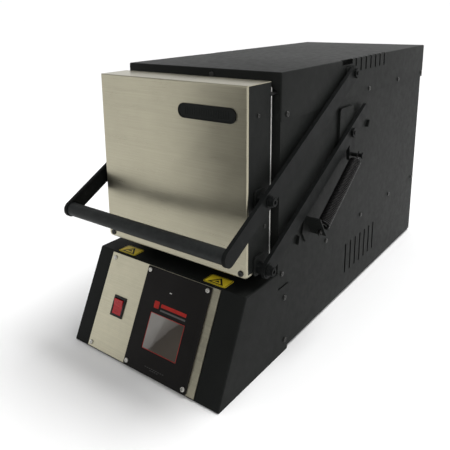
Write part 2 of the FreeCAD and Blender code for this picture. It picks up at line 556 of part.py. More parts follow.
# ---- fasteners on the case --------------------------------------------------------------------
def make_case_screws():
    def row(name, x, reach):
        size = {"head": 4.2, "rise": 2.0, "reach": reach}
        screws = [screw((x, *point), (1, 0, 0), **size) for point in SIDE_ROWS[name]]
        return screws + [mirrored(s) for s in screws]
    nodes["case_screws"] = Part.makeCompound(row("case", BODY_HALF, 1.4))
    skirt = (FRONT_SCREW[0], BODY_FRONT - SHEET - 0.3, FRONT_SCREW[1])
    front = screw(skirt, (0, -1, 0), head=4.2, rise=2.0, reach=1.4)
    nodes["cover_screws"] = Part.makeCompound(row("cover", COVER_HALF, 2.9) + [front])
    nodes["housing_screws"] = Part.makeCompound(row("housing", COVER_HALF, 5.0))


def save():
    """Centres the whole kiln front to back on the origin and writes each node."""
    os.makedirs("parts", exist_ok=True)
    front = nodes["fascia_screws"].optimalBoundingBox(False).YMin
    centre = (front + BODY_REAR + GLAND[2]) / 2
    for name, shape in nodes.items():
        shape.translate(V(0, -centre, 0))
        shape.exportStep("parts/" + name + ".step")
    print("centre", centre)


nodes["body_case"] = make_body_case()
nodes["rear_panel"] = make_rear_panel()
nodes["front_frame"] = make_front_frame()
nodes["top_cover"] = make_top_cover()
nodes["control_housing"] = make_control_housing()
make_control_panel()
make_rocker()
make_caution_plates()
make_chamber()
make_electrics()
make_door_switch()
make_arms()
make_pivots()
make_springs()
make_door()
make_case_screws()
save()
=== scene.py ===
"""Looks of a front-loading box kiln: finishes, detailed pieces, floor, light and camera round the frame.

Lengths are metres unless a name ends in _MM.  The right side is +X and the front is -Y.
"""
import bmesh
import bpy
import json
import math
from mathutils import Matrix, Vector

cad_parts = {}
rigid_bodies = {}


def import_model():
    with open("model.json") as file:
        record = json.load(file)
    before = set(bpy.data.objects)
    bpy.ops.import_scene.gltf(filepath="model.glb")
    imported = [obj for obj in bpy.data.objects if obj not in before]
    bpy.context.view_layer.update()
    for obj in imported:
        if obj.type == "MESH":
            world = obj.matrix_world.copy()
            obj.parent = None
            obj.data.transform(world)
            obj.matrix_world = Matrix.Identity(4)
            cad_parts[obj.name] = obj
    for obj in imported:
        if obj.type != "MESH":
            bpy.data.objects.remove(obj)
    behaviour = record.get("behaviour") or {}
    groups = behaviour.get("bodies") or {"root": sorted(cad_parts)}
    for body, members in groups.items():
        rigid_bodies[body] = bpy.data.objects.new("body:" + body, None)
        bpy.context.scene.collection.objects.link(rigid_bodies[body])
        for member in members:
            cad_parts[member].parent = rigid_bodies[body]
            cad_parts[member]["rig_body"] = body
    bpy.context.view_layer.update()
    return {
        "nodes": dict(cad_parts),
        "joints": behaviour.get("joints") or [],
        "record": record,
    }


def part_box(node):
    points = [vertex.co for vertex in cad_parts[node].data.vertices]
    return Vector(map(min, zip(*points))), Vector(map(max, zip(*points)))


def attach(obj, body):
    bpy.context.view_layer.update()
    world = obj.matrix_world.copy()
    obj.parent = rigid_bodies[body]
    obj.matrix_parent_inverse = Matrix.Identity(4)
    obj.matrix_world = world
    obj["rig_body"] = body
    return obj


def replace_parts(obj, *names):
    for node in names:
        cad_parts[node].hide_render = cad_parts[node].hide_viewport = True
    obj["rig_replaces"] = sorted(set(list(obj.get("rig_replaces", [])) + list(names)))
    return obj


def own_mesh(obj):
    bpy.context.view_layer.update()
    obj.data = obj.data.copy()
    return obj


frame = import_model()
nodes = frame["nodes"]
slot_of = {part["node"]: part["material_slot"] for part in frame["record"]["subparts"]}
joints = {joint["name"]: joint for joint in frame["joints"]}

MM = 0.001
WELD = 2e-6
CREASE = math.radians(32)
BEVEL_MM = 0.3
LEDGE_HEIGHT_MM, LEDGE_SET_BACK_MM = 146.0, 71.0        # top of the sloped control panel
SLOPE = math.atan2(LEDGE_HEIGHT_MM, LEDGE_SET_BACK_MM)
LABEL_SET_BACK_MM = 74.5


def low(node):
    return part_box(node)[0]


def high(node):
    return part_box(node)[1]


def centre(node):
    return (low(node) + high(node)) / 2


# ---- finishes ---------------------------------------------------------------------------------
class Finish:
    """A Principled material and the few nodes that vary it, in object coordinates."""

    def __init__(self, name, **sockets):
        self.material = bpy.data.materials.new(name)
        self.material.use_nodes = True
        self.nodes = self.material.node_tree.nodes
        self.links = self.material.node_tree.links
        self.shader = self.nodes["Principled BSDF"]
        self.place = self.nodes.new("ShaderNodeTexCoord").outputs["Object"]
        for socket, value in sockets.items():
            self.shader.inputs[socket.replace("_", " ")].default_value = value

    def node(self, kind, *inputs, **values):
        made = self.nodes.new(kind)
        for key, value in values.items():
            if hasattr(made, key):
                setattr(made, key, value)
            else:
                made.inputs[key.replace("_", " ")].default_value = value
        for number, source in enumerate(inputs):
            self.links.new(source, made.inputs[number])
        return made

    def stretched(self, scale):
        return self.node("ShaderNodeMapping", self.place, Scale=scale).outputs[0]

    def noise(self, size_mm, detail=3.0, stretch=(1, 1, 1), rough=0.5):
        """Noise with features of that size, longer where stretch is below 1."""
        made = self.node("ShaderNodeTexNoise", self.stretched(stretch), Scale=1 / (size_mm * MM),
                         Detail=detail, Roughness=rough)
        return made.outputs[0]

    def cells(self, size_mm):
        return self.node("ShaderNodeTexVoronoi", self.place, Scale=1 / (size_mm * MM)).outputs["Distance"]

    def spread(self, value, least, most, start=0.3, end=0.7):
        """The value's range from start to end, mapped on to least to most."""
        made = self.node("ShaderNodeMapRange", value)
        for number, limit in enumerate((start, end, least, most), 1):
            made.inputs[number].default_value = limit
        return made.outputs[0]

    def ramp(self, value, *stops):
        made = self.node("ShaderNodeValToRGB", value)
        band = made.color_ramp
        while len(band.elements) < len(stops):
            band.elements.new(0.5)
        for element, (place, colour) in zip(band.elements, stops):
            element.position = place
            element.color = (*colour, 1)
        return made.outputs[0]

    def colour(self, value, *stops):
        self.links.new(self.ramp(value, *stops), self.shader.inputs["Base Color"])

    def rough(self, value, least, most, start=0.3, end=0.7):
        self.links.new(self.spread(value, least, most, start, end), self.shader.inputs["Roughness"])

    def bump(self, value, height_mm, strength=1.0, under=None):
        made = self.node("ShaderNodeBump", Strength=strength, Distance=height_mm * MM)
        self.links.new(value, made.inputs["Height"])
        if under is not None:
            self.links.new(under, made.inputs["Normal"])
        self.links.new(made.outputs[0], self.shader.inputs["Normal"])
        return made.outputs[0]


def powder_coat(name, dark, light, rough, grain_mm=1.1):
    """Fine-texture powder coat: orange peel, faint cloudiness, a little dust in the roughness."""
    finish = Finish(name, Specular_IOR_Level=0.065)
    finish.colour(finish.noise(60, 5), (0.3, dark), (0.7, light))
    finish.rough(finish.noise(12, 6, rough=0.65), *rough)
    finish.bump(finish.noise(grain_mm, 2), 0.035, 0.6)
    return finish.material


def satin_black(name, base=1.0, gloss=0.04):
    """Painted linkage: smoother than the case, rubbed lighter in patches."""
    finish = Finish(name, Specular_IOR_Level=gloss)
    worn = [tuple(c * base for c in shade) for shade in ((0.006, 0.0065, 0.0065), (0.009, 0.0098, 0.0095))]
    finish.colour(finish.noise(9, 8, rough=0.7), (0.35, worn[0]), (0.62, worn[1]), (0.8, (0.03, 0.03, 0.029)))
    finish.rough(finish.noise(18, 5), 0.34, 0.5)
    finish.bump(finish.noise(0.8, 2), 0.02, 0.5)
    return finish.material


def brushed(name, shade, tint, along, rough=(0.26, 0.36), cloud_mm=70):
    """Stainless sheet brushed along one axis, slightly clouded by handling."""
    finish = Finish(name, Metallic=1.0)
    stretch = tuple(0.012 if axis == along else 1 for axis in "XYZ")
    fine = finish.noise(0.35, 2, stretch)
    broad = finish.noise(1.6, 3, stretch)
    clouds = finish.noise(cloud_mm, 5, rough=0.6)
    mixed = finish.node("ShaderNodeMath", fine, broad, operation="ADD")
    mixed = finish.node("ShaderNodeMath", mixed.outputs[0], clouds, operation="ADD")
    third = finish.node("ShaderNodeMath", mixed.outputs[0], operation="MULTIPLY")
    third.inputs[1].default_value = 1 / 3
    finish.colour(third.outputs[0], (0.38, tuple(c * shade for c in tint)), (0.62, tint))
    finish.rough(third.outputs[0], *rough, start=0.35, end=0.65)
    finish.bump(fine, 0.006, 0.7)
    return finish.material


def plated(name, colour=(0.62, 0.61, 0.57), rough=(0.22, 0.4)):
    """Zinc or nickel plate, with a faint bloom."""
    finish = Finish(name, Metallic=1.0)
    finish.colour(finish.noise(3, 5), (0.3, tuple(c * 0.75 for c in colour)), (0.7, colour))
    finish.rough(finish.noise(2, 4), *rough)
    finish.bump(finish.noise(0.3, 2), 0.01, 0.5)
    return finish.material


def oiled_steel(name):
    """Blackened spring steel with oil left between the coils."""
    finish = Finish(name, Metallic=0.6, Specular_IOR_Level=0.2)
    finish.colour(finish.noise(2.5, 5), (0.35, (0.01, 0.01, 0.0105)), (0.7, (0.03, 0.029, 0.028)))
    finish.rough(finish.noise(6, 4), 0.28, 0.5)
    finish.bump(finish.noise(0.4, 2), 0.015, 0.5)
    return finish.material


def moulded(name, colour, rough=(0.35, 0.5), grain_mm=0.5, coat=0.0, gloss=0.25):
    """Plastic with a spark-eroded texture."""
    finish = Finish(name, Coat_Weight=coat, Coat_Roughness=0.1, Specular_IOR_Level=gloss)
    finish.colour(finish.noise(12, 4), (0.3, tuple(c * 0.85 for c in colour)), (0.7, colour))
    finish.rough(finish.noise(4, 4), *rough)
    finish.bump(finish.noise(grain_mm, 2), 0.02, 0.5)
    return finish.material


def label_yellow(name):
    finish = Finish(name)
    finish.colour(finish.noise(7, 4), (0.3, (0.82, 0.62, 0.025)), (0.7, (0.95, 0.74, 0.035)))
    finish.rough(finish.noise(5, 4), 0.35, 0.5)
    finish.bump(finish.noise(1.5, 2), 0.01, 0.4)
    return finish.material


def screen_glass(name):
    """Dark cover glass over a display, with a painted reflection on it: two plain tones meeting on a
    diagonal.
    """
    finish = Finish(name, Coat_Weight=0.6, Coat_Roughness=0.03, Roughness=0.12)
    across = finish.node("ShaderNodeVectorMath", finish.place, operation="DOT_PRODUCT")
    across.inputs[1].default_value = PAINTED_REFLECTION_AXIS
    haze = finish.noise(25, 3)
    reflection_coordinate = finish.node("ShaderNodeMath", across.outputs["Value"], finish.spread(haze, -0.04, 0.04),
                        operation="ADD")
    # painted reflection: a lighter tone on one side of the diagonal and a darker one on the other, its edge
    # wobbled by the haze
    finish.colour(finish.spread(reflection_coordinate.outputs[0], 0, 1, PAINTED_REFLECTION_SPLIT - 0.5, PAINTED_REFLECTION_SPLIT + 0.5),
                  (0.0, (0.16, 0.15, 0.135)), (0.47, (0.1, 0.09, 0.08)), (0.53, (0.045, 0.038, 0.03)),
                  (1.0, (0.06, 0.05, 0.04)))
    finish.rough(haze, 0.08, 0.16)
    return finish.material


def ceramic_fibre(name):
    """Soft white blanket: matted strands and needle marks."""
    finish = Finish(name, Sheen_Weight=0.3, Specular_IOR_Level=0.1)
    strands = finish.noise(1.2, 6, (1, 0.3, 1), 0.7)
    finish.colour(finish.noise(22, 5), (0.3, (0.7, 0.69, 0.65)), (0.7, (0.88, 0.87, 0.84)))
    finish.rough(strands, 0.85, 1.0)
    matted = finish.bump(strands, 0.5, 0.9)
    finish.bump(finish.cells(9), 1.2, 0.4, under=matted)
    return finish.material


def insulating_brick(name):
    """Cream firebrick: open pores, crumbled flecks and slight scorching."""
    finish = Finish(name, Specular_IOR_Level=0.15)
    finish.colour(finish.noise(45, 7, rough=0.65), (0.3, (0.56, 0.42, 0.29)), (0.55, (0.72, 0.6, 0.46)),
                  (0.75, (0.8, 0.72, 0.6)))
    pores = finish.cells(1.6)
    finish.rough(pores, 0.85, 1.0)
    pitted = finish.bump(finish.spread(pores, 0, 1, 0.05, 0.4), 0.6, 0.8)
    finish.bump(finish.noise(8, 6, rough=0.7), 0.8, 0.5, under=pitted)
    return finish.material


def element_alloy(name):
    finish = Finish(name, Metallic=0.85)
    finish.colour(finish.noise(4, 5), (0.3, (0.09, 0.075, 0.06)), (0.7, (0.22, 0.19, 0.16)))
    finish.rough(finish.noise(2, 4), 0.5, 0.75)
    finish.bump(finish.noise(0.3, 3), 0.03, 0.6)
    return finish.material


def glazed(name):
    finish = Finish(name, Specular_IOR_Level=0.4)
    finish.colour(finish.noise(10, 5), (0.3, (0.66, 0.62, 0.54)), (0.7, (0.82, 0.79, 0.72)))
    finish.rough(finish.noise(3, 4), 0.4, 0.65)
    finish.bump(finish.noise(0.8, 3), 0.04, 0.6)
    return finish.material


def spangled(name):
    """Galvanised sheet with its crystal pattern."""
    finish = Finish(name, Metallic=0.9)
    flakes = finish.cells(9)
    finish.colour(flakes, (0.1, (0.4, 0.41, 0.42)), (0.5, (0.55, 0.56, 0.57)), (0.8, (0.47, 0.48, 0.5)))
    finish.rough(flakes, 0.35, 0.55, 0.1, 0.7)
    finish.bump(finish.noise(0.6, 2), 0.015, 0.5)
    return finish.material


def circuit_board(name):
    """Green solder mask with a faint grid of copper runs under it."""
    finish = Finish(name, Coat_Weight=0.5, Coat_Roughness=0.2)
    runs = finish.node("ShaderNodeTexBrick", finish.place, Scale=180.0, Mortar_Size=0.08)
    finish.colour(runs.outputs["Fac"], (0.2, (0.012, 0.09, 0.03)), (0.8, (0.05, 0.2, 0.07)))
    finish.rough(finish.noise(6, 4), 0.35, 0.5)
    finish.bump(runs.outputs["Fac"], 0.04, 0.6)
    return finish.material


def tyre_rubber(name):
    finish = Finish(name, Specular_IOR_Level=0.3)
    finish.colour(finish.noise(5, 5), (0.3, (0.015, 0.015, 0.015)), (0.7, (0.035, 0.034, 0.033)))
    finish.rough(finish.noise(2, 4), 0.65, 0.85)
    finish.bump(finish.noise(0.6, 3), 0.05, 0.6)
    return finish.material


PAINTED_REFLECTION_AXIS = (17.0, -6.5, -13.4)           # direction across which the painted reflection on the screen changes from light to dark
# where the painted reflection turns from light to dark: at the screen's middle along that direction
PAINTED_REFLECTION_SPLIT = centre("touch_screen").dot(Vector(PAINTED_REFLECTION_AXIS))

FINISHES = {
    "black_steel": powder_coat("powder coat", (0.0082, 0.009, 0.0084), (0.0102, 0.0112, 0.0104),
                               (0.46, 0.56)),
    "linkage_black": satin_black("satin black"),
    "spring_steel": oiled_steel("oiled spring steel"),
    "stainless": brushed("brushed stainless", 0.84, (0.42, 0.395, 0.3), "X"),
    "zinc": plated("zinc plate"),
    "black_screws": plated("black oxide", (0.05, 0.05, 0.048), (0.3, 0.48)),
    "panel_black": powder_coat("panel paint", (0.0095, 0.0088, 0.0084), (0.0125, 0.0116, 0.011),
                               (0.3, 0.4), 0.6),
    "screen_glass": screen_glass("screen glass with painted reflection"),
    "rocker_red": moulded("red plastic", (0.36, 0.006, 0.01), (0.2, 0.3), 0.9, coat=0.15),
    "black_plastic": moulded("black plastic", (0.009, 0.009, 0.009)),
    "caution_yellow": label_yellow("label yellow"),
    "fibre": ceramic_fibre("ceramic fibre"),
    "firebrick": insulating_brick("firebrick"),
    "element_wire": element_alloy("element alloy"),
    "ceramic": glazed("ceramic"),
    "galvanised": spangled("galvanised"),
    "board_green": circuit_board("circuit board"),
    "rubber": tyre_rubber("rubber"),
}
GRIP_PAINT = satin_black("grip paint", 2.4, 0.1)
LABEL_INK = moulded("label ink", (0.012, 0.012, 0.012), (0.4, 0.55))
RED_PRINT = moulded("red print", (0.34, 0.02, 0.015), (0.4, 0.55), gloss=0.1)
GREY_PRINT = moulded("grey print", (0.085, 0.085, 0.083), (0.4, 0.55), gloss=0.1)
WHITE_PRINT = moulded("white print", (0.6, 0.6, 0.58), (0.4, 0.55))
FASCIA_STEEL = brushed("brushed fascia", 0.82, (0.53, 0.5, 0.38), "X", (0.3, 0.42), 22)


# ---- making pieces ----------------------------------------------------------------------------
FRONT = low("caution_plates").y - LABEL_SET_BACK_MM * MM        # where the panel's slope meets the floor
TO_SLOPE = Matrix.Translation((0, FRONT, 0)) @ Matrix.Rotation(SLOPE, 4, "X")


def mesh_from(shape, name):
    """Turns a bmesh into a mesh and frees it."""
    mesh = bpy.data.meshes.new(name)
    shape.to_mesh(mesh)
    shape.free()
    return mesh


def absorb(shape, other):
    """Adds another bmesh to a bmesh and frees the other."""
    mesh = mesh_from(other, "absorbed")
    shape.from_mesh(mesh)
    bpy.data.meshes.remove(mesh)


def shown(name, mesh, material):
    made = bpy.data.objects.new(name, mesh)
    bpy.context.scene.collection.objects.link(made)
    made.data.materials.append(material)
    return made


def piece(name, shape, body, slot, material=None):
    """A shown object from a bmesh, riding on a body."""
    bmesh.ops.recalc_face_normals(shape, faces=shape.faces)
    mesh = mesh_from(shape, name)
    mesh.shade_smooth()
    mesh.set_sharp_from_angle(angle=CREASE)
    made = shown(name, mesh, material or FINISHES[slot])
    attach(made, body)
    return made


def bevelled(made, width_mm, segments=2):
    edge = made.modifiers.new("edges", "BEVEL")
    edge.width = width_mm * MM
    edge.segments = segments
    edge.limit_method = "ANGLE"
    edge.angle_limit = CREASE
    edge.harden_normals = True
    edge.use_clamp_overlap = True
    return made


def node_shape(node):
    """A node's mesh, welded and with its flat faces whole."""
    shape = bmesh.new()
    shape.from_mesh(nodes[node].data)
    bmesh.ops.remove_doubles(shape, verts=shape.verts, dist=WELD)
    bmesh.ops.dissolve_limit(shape, angle_limit=math.radians(0.5), verts=shape.verts, edges=shape.edges)
    return shape


def refine(node, width_mm=BEVEL_MM, material=None, segments=2):
    """Stands a copy with broken edges in for a node."""
    made = piece("fine_" + node, node_shape(node), nodes[node]["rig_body"], slot_of[node], material)
    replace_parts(made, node)
    return bevelled(made, width_mm, segments)


def bridge(shape, first, second):
    """Joins two closed rings of the same number of points with faces."""
    count = len(first)
    for k in range(count):
        shape.faces.new((first[k], first[(k + 1) % count], second[(k + 1) % count], second[k]))


def sweep(shape, path, radius, sides):
    """A round wire along a path."""
    last = len(path) - 1
    ahead = [(path[min(k + 1, last)] - path[max(k - 1, 0)]).normalized() for k in range(last + 1)]
    side = ahead[0].orthogonal().normalized()
    rings = []
    for point, direction in zip(path, ahead):
        side = (side - direction * side.dot(direction)).normalized()
        other = direction.cross(side)
        turns = [2 * math.pi * k / sides for k in range(sides)]
        rings.append([shape.verts.new(point + (side * math.cos(t) + other * math.sin(t)) * radius)
                      for t in turns])
    for first, second in zip(rings, rings[1:]):
        bridge(shape, first, second)
    shape.faces.new(rings[0][::-1])
    shape.faces.new(rings[-1])


def smooth_path(points, steps=8):
    """A Catmull-Rom curve through the points."""
    ends = [points[0] * 2 - points[1], *points, points[-1] * 2 - points[-2]]
    made = []
    for a, b, c, d in zip(ends, ends[1:], ends[2:], ends[3:]):
        for k in range(steps):
            t = k / steps
            made.append(0.5 * (2 * b + (c - a) * t + (2 * a - 5 * b + 4 * c - d) * t * t
                               + (3 * b - a - 3 * c + d) * t ** 3))
    return made + [points[-1].copy()]


def turned(shape, profile, sides):
    """A solid of revolution about Z from (radius, height) points, bottom to top."""
    rings = []
    for radius, height in profile:
        turns = [2 * math.pi * k / sides for k in range(sides)]
        rings.append([shape.verts.new((radius * math.cos(t), radius * math.sin(t), height)) for t in turns])
    for first, second in zip(rings, rings[1:]):
        bridge(shape, first, second)
    shape.faces.new(rings[0][::-1])
    shape.faces.new(rings[-1])


def hexagon_nut(shape, across, bottom, top):
    """A nut or bolt head along Z with its corners chamfered."""
    corner = across / math.sqrt(3)
    cham = across * 0.06
    turned(shape, [(corner - cham, bottom), (corner, bottom + cham * 0.6), (corner, top - cham * 0.6),
                   (corner - cham, top)], 6)


def slab(shape, outline, bottom, top):
    """A flat plate with that outline."""
    lower = [shape.verts.new((x, y, bottom)) for x, y in outline]
    upper = [shape.verts.new((x, y, top)) for x, y in outline]
    shape.faces.new(lower[::-1])
    shape.faces.new(upper)
    bridge(shape, lower, upper)


def rounded(width, height, radius, steps=6):
    """Outline of a rounded rectangle about the origin."""
    made = []
    for quarter, (sx, sy) in enumerate(((1, 1), (-1, 1), (-1, -1), (1, -1))):
        middle = (sx * (width / 2 - radius), sy * (height / 2 - radius))
        for k in range(steps + 1):
            turn = math.pi / 2 * (quarter + k / steps)
            made.append((middle[0] + radius * math.cos(turn), middle[1] + radius * math.sin(turn)))
    return made


def outline_band(shape, outer, inner, bottom, top):
    """A flat ring between two outlines with the same number of points."""
    rows = [[shape.verts.new((x, y, z)) for x, y in outline]
            for outline, z in ((outer, bottom), (outer, top), (inner, top), (inner, bottom))]
    for first, second in zip(rows, rows[1:] + rows[:1]):
        bridge(shape, first, second)


def placed(shape, matrix):
    bmesh.ops.transform(shape, matrix=matrix, verts=shape.verts)
    return shape


# ---- springs ----------------------------------------------------------------------------------
WIRE_MM, COIL_MM = 1.4, 9.4             # radius of the wire, and of the coil at the wire's middle
COIL_START_MM, COIL_TO_STUD_MM = 9.6, 13.0      # from the foot to the coil, and from the coil to the stud
COIL_PITCH_MM, COIL_STEPS = 3.0, 20
EYE_MM = 5.4                            # radius of the hook over the stud
HOOK_SWEEP = (-60, 236, 20)             # the hook's start, end and step in degrees
NUT_MM = (8.0, -7.0, -3.4)              # across, bottom and top
PLUG_PROFILE = [(4.0, 7.0), (7.6, 7.4), (7.6, 8.6), (6.6, 9.2), (6.6, 20.0), (5.8, 20.8)]
THREAD_MM, THREAD_DEPTH_MM, THREAD_START_MM, THREAD_STEP_MM, THREAD_STEPS = 1.75, 0.2, -9.9, 0.45, 38


def make_spring(side):
    """A close-wound spring screwed on to a bolted plug at its foot and hooked over the stud on the crank."""
    foot = Vector(joints[f"spring_{side}_swing"]["pos_m"])
    stud = centre(f"spring_stud_{side}")
    top = Vector((foot.x, stud.y, stud.z))
    up = (top - foot).normalized()
    length = (top - foot).length / MM
    across = Vector((1, 0, 0))
    to_place = Matrix((across, up.cross(across), up)).transposed().to_4x4()
    to_place = Matrix.Translation(foot) @ to_place @ Matrix.Scale(MM, 4)

    start, end = COIL_START_MM, length - COIL_TO_STUD_MM
    count = int((end - start) / COIL_PITCH_MM) * COIL_STEPS
    coil = []
    for k in range(count + 1):
        turn = 2 * math.pi * k / COIL_STEPS
        narrowing = min(1.0, (count - k) / COIL_STEPS)          # over the last turn
        radius = COIL_MM * (0.5 + 0.5 * narrowing ** 0.6)
        coil.append(Vector((radius * math.cos(turn), radius * math.sin(turn),
                            start + (end - start) * k / count)))
    angles = [math.radians(a) for a in range(*HOOK_SWEEP)]
    hook = [Vector((0, EYE_MM * math.sin(a), length - EYE_MM * math.cos(a))) for a in angles]
    upper = [coil[-1], Vector((2.4, -1.0, end + 1.6)), *hook]
    shape = bmesh.new()
    sweep(shape, coil + smooth_path(upper, 4)[1:], WIRE_MM, 8)
    spring = piece(f"coil_spring_{side}", placed(shape, to_place), f"spring_{side}", "spring_steel")

    shape = bmesh.new()
    thread = [(THREAD_MM + THREAD_DEPTH_MM * (k % 2), THREAD_START_MM + THREAD_STEP_MM * k)
              for k in range(THREAD_STEPS)]
    turned(shape, thread, 16)
    turned(shape, PLUG_PROFILE, 24)
    hexagon_nut(shape, *NUT_MM)
    bolt = piece(f"tension_bolt_{side}", placed(shape, to_place), f"spring_{side}", "spring_steel",
                 FINISHES["black_screws"])
    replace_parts(spring, f"spring_{side}")
    return [(made, up, foot) for made in (spring, bolt)]


for side in ("left", "right"):
    for made, up, foot in make_spring(side):
        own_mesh(made)


# ---- heating elements -------------------------------------------------------------------------
ROW_PITCH, RUN, TURN_CORNER = 0.029, 0.500, 0.006
ELEMENT_RADIUS, ELEMENT_COIL, ELEMENT_WIRE = 0.005, 0.0043, 0.00075
ELEMENT_PITCH, ELEMENT_STEPS, TAIL_RADIUS = 0.0036, 10, 0.0022


def make_element(side):
    """A coiled wire up the wall in three runs, with straight tails to the terminals."""
    box_low, box_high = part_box(f"element_{side}")
    x = (box_low.x + box_high.x) / 2
    front, top = box_low.y + ELEMENT_RADIUS, box_high.z - ELEMENT_RADIUS
    rows = [top - 2 * ROW_PITCH, top - ROW_PITCH, top]
    rear = front + RUN
    path = [Vector((x, front, rows[0]))]

    def bend(y, z, first, second):
        middle = Vector((x, y, z))
        start, end = middle - first * TURN_CORNER, middle + second * TURN_CORNER
        path.extend(start.lerp(middle, t).lerp(middle.lerp(end, t), t) for t in (0, 0.25, 0.5, 0.75, 1))

    back, forward, up = Vector((0, 1, 0)), Vector((0, -1, 0)), Vector((0, 0, 1))
    bend(rear, rows[0], back, up)
    bend(rear, rows[1], up, forward)
    bend(front, rows[1], forward, up)
    bend(front, rows[2], up, back)
    path.append(Vector((x, rear, rows[2])))

    lengths = [0.0]
    for a, b in zip(path, path[1:]):
        lengths.append(lengths[-1] + (b - a).length)
    total = int(lengths[-1] / ELEMENT_PITCH) * ELEMENT_STEPS
    wire, leg = [], 0
    out = Vector((1, 0, 0))
    for k in range(total + 1):
        distance = lengths[-1] * k / total
        while leg < len(path) - 2 and distance > lengths[leg + 1]:
            leg += 1
        a, b = path[leg], path[leg + 1]
        point = a.lerp(b, (distance - lengths[leg]) / max(lengths[leg + 1] - lengths[leg], 1e-9))
        direction = (b - a).normalized()
        turn = 2 * math.pi * k / ELEMENT_STEPS
        wire.append(point + ELEMENT_COIL * (out * math.cos(turn) + direction.cross(out) * math.sin(turn)))
    shape = bmesh.new()
    sweep(shape, wire, ELEMENT_WIRE, 5)
    sweep(shape, smooth_path([wire[0], path[0] + Vector((0, 0, -0.012)),
                              Vector((x, front, box_low.z + 0.001))]), TAIL_RADIUS, 8)
    sweep(shape, smooth_path([wire[-1], path[-1] + Vector((0, 0.012, 0)),
                              Vector((x, box_high.y - 0.001, rows[2]))]), TAIL_RADIUS, 8)
    made = piece(f"element_coil_{side}", shape, "root", "element_wire")
    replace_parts(made, f"element_{side}")


make_element("left")
make_element("right")


# ---- brickwork --------------------------------------------------------------------------------
BRICK_LENGTH, REAR_BRICK_WIDTH = 0.1143, 0.07
JOINT = 0.0004
CRUMBLED_MM = 0.9


def laid_bricks(node, axis, length):
    """Cuts a wall into bricks along one axis, each with crumbled edges and a fine joint."""
    start, end = low(node)[axis], high(node)[axis]
    count = max(1, round((end - start) / length))
    normal = Vector([1 if k == axis else 0 for k in range(3)])
    wall = bmesh.new()
    for k in range(count):
        a = start + (end - start) * k / count
        b = start + (end - start) * (k + 1) / count
        brick = node_shape(node)
        for place, outwards in ((a + JOINT if k else None, -1), (b - JOINT if k < count - 1 else None, 1)):
            if place is None:
                continue
            everything = brick.verts[:] + brick.edges[:] + brick.faces[:]
            found = bmesh.ops.bisect_plane(brick, geom=everything, plane_co=normal * place,
                                           plane_no=normal * outwards, clear_outer=True)
            rim = [e for e in found["geom_cut"] if isinstance(e, bmesh.types.BMEdge)]
            bmesh.ops.edgenet_fill(brick, edges=rim)
        absorb(wall, brick)
    made = piece("laid_" + node, wall, "root", "firebrick")
    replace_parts(made, node)
    bevelled(made, CRUMBLED_MM)


for wall_node in ("wall_bricks_left", "wall_bricks_right", "hearth_bricks", "roof_bricks"):
    laid_bricks(wall_node, 1, BRICK_LENGTH)
laid_bricks("rear_brick", 0, REAR_BRICK_WIDTH)


# ---- control panel ----------------------------------------------------------------------------
def on_panel(x, up, rise):
    """Matrix that puts a flat shape, in millimetres, on the sloped panel."""
    return TO_SLOPE @ Matrix.Translation((x * MM, up * MM, rise * MM)) @ Matrix.Scale(MM, 4)


PLATE_RISE_MM = 3.5
SCREEN_MM = (28.85, 66.0, 68.7, 56.0)           # middle across and up the slope, width and height
SCREEN_TOP_MM = SCREEN_MM[1] + SCREEN_MM[3] / 2
BORDER_MM = (-0.35, -0.2)                       # bottom and top, from the plate's face
PRINT_MM, TICK_MM = (-0.2, 0.04), (-0.2, 0.03)
INK_MM, MARK_MM = (-0.1, 0.05), (0.0, 0.14)     # bottom and top, from the label and from the key
RED_BARS = [(10.0, 11.0, 1.6, -26.5, 12.5), (50.0, 5.4, 0.8, 7.5, 13.5)]
GREY_BARS = [(50.0, 2.6, 0.6, 7.5, 6.4)]
WHITE_BARS = [(4.2, 1.2, 0.5, -6.0, 36.0)]
TICK_ROWS, TICK_PITCH_MM, TICKS_UP_MM = ((9, 0.0), (4, 2.6)), 4.4, 15.5        # each row's count and drop
KEY_TILT, KEY_BEND = math.radians(7), math.atan2(1.2, 12.2)     # of the key at rest, and of each half of it
LABEL_WIDTHS_MM, TRIANGLE_MM = (38.0, 41.0), (18.5, 14.5)       # triangle's height and half width
KEY_FACE_MM, MARK_UP_MM = 5.55, 7.2             # the marks' height over the hinge, and distance from it


def make_screen():
    refine("touch_screen", 0.4)
    x, up, width, height = SCREEN_MM
    shape = bmesh.new()
    outline_band(shape, rounded(width - 0.8, height - 0.8, 0.8), rounded(width - 2.2, height - 2.2, 0.4),
                 *BORDER_MM)
    piece("screen_border", placed(shape, on_panel(x, up, PLATE_RISE_MM)), "root", "rocker_red", RED_PRINT)


def make_bars(name, slot, material, layer, bars):
    """Flat bars: each one's width, height and corner, then its place from the middle of the screen's top."""
    shape = bmesh.new()
    for width, height, corner, across, above in bars:
        bar = bmesh.new()
        slab(bar, rounded(width, height, corner), *layer)
        absorb(shape, placed(bar, on_panel(SCREEN_MM[0] + across, SCREEN_TOP_MM + above, PLATE_RISE_MM)))
    piece(name, shape, "root", slot, material)


def make_prints():
    """Plain bars and ticks where the panel carries its printing."""
    make_bars("red_bars", "rocker_red", RED_PRINT, PRINT_MM, RED_BARS)
    make_bars("grey_bar", "panel_black", GREY_PRINT, PRINT_MM, GREY_BARS)
    shape = bmesh.new()
    tick = rounded(2.8, 0.7, 0.3, 2)
    for count, drop in TICK_ROWS:
        for k in range(count):
            middle = (k - (count - 1) / 2) * TICK_PITCH_MM
            slab(shape, [(px + middle, py - drop) for px, py in tick], *TICK_MM)
    placed(shape, on_panel(SCREEN_MM[0], TICKS_UP_MM, PLATE_RISE_MM))
    piece("lower_ticks", shape, "root", "panel_black", GREY_PRINT)
    make_bars("upper_tick", "panel_black", WHITE_PRINT, TICK_MM, WHITE_BARS)


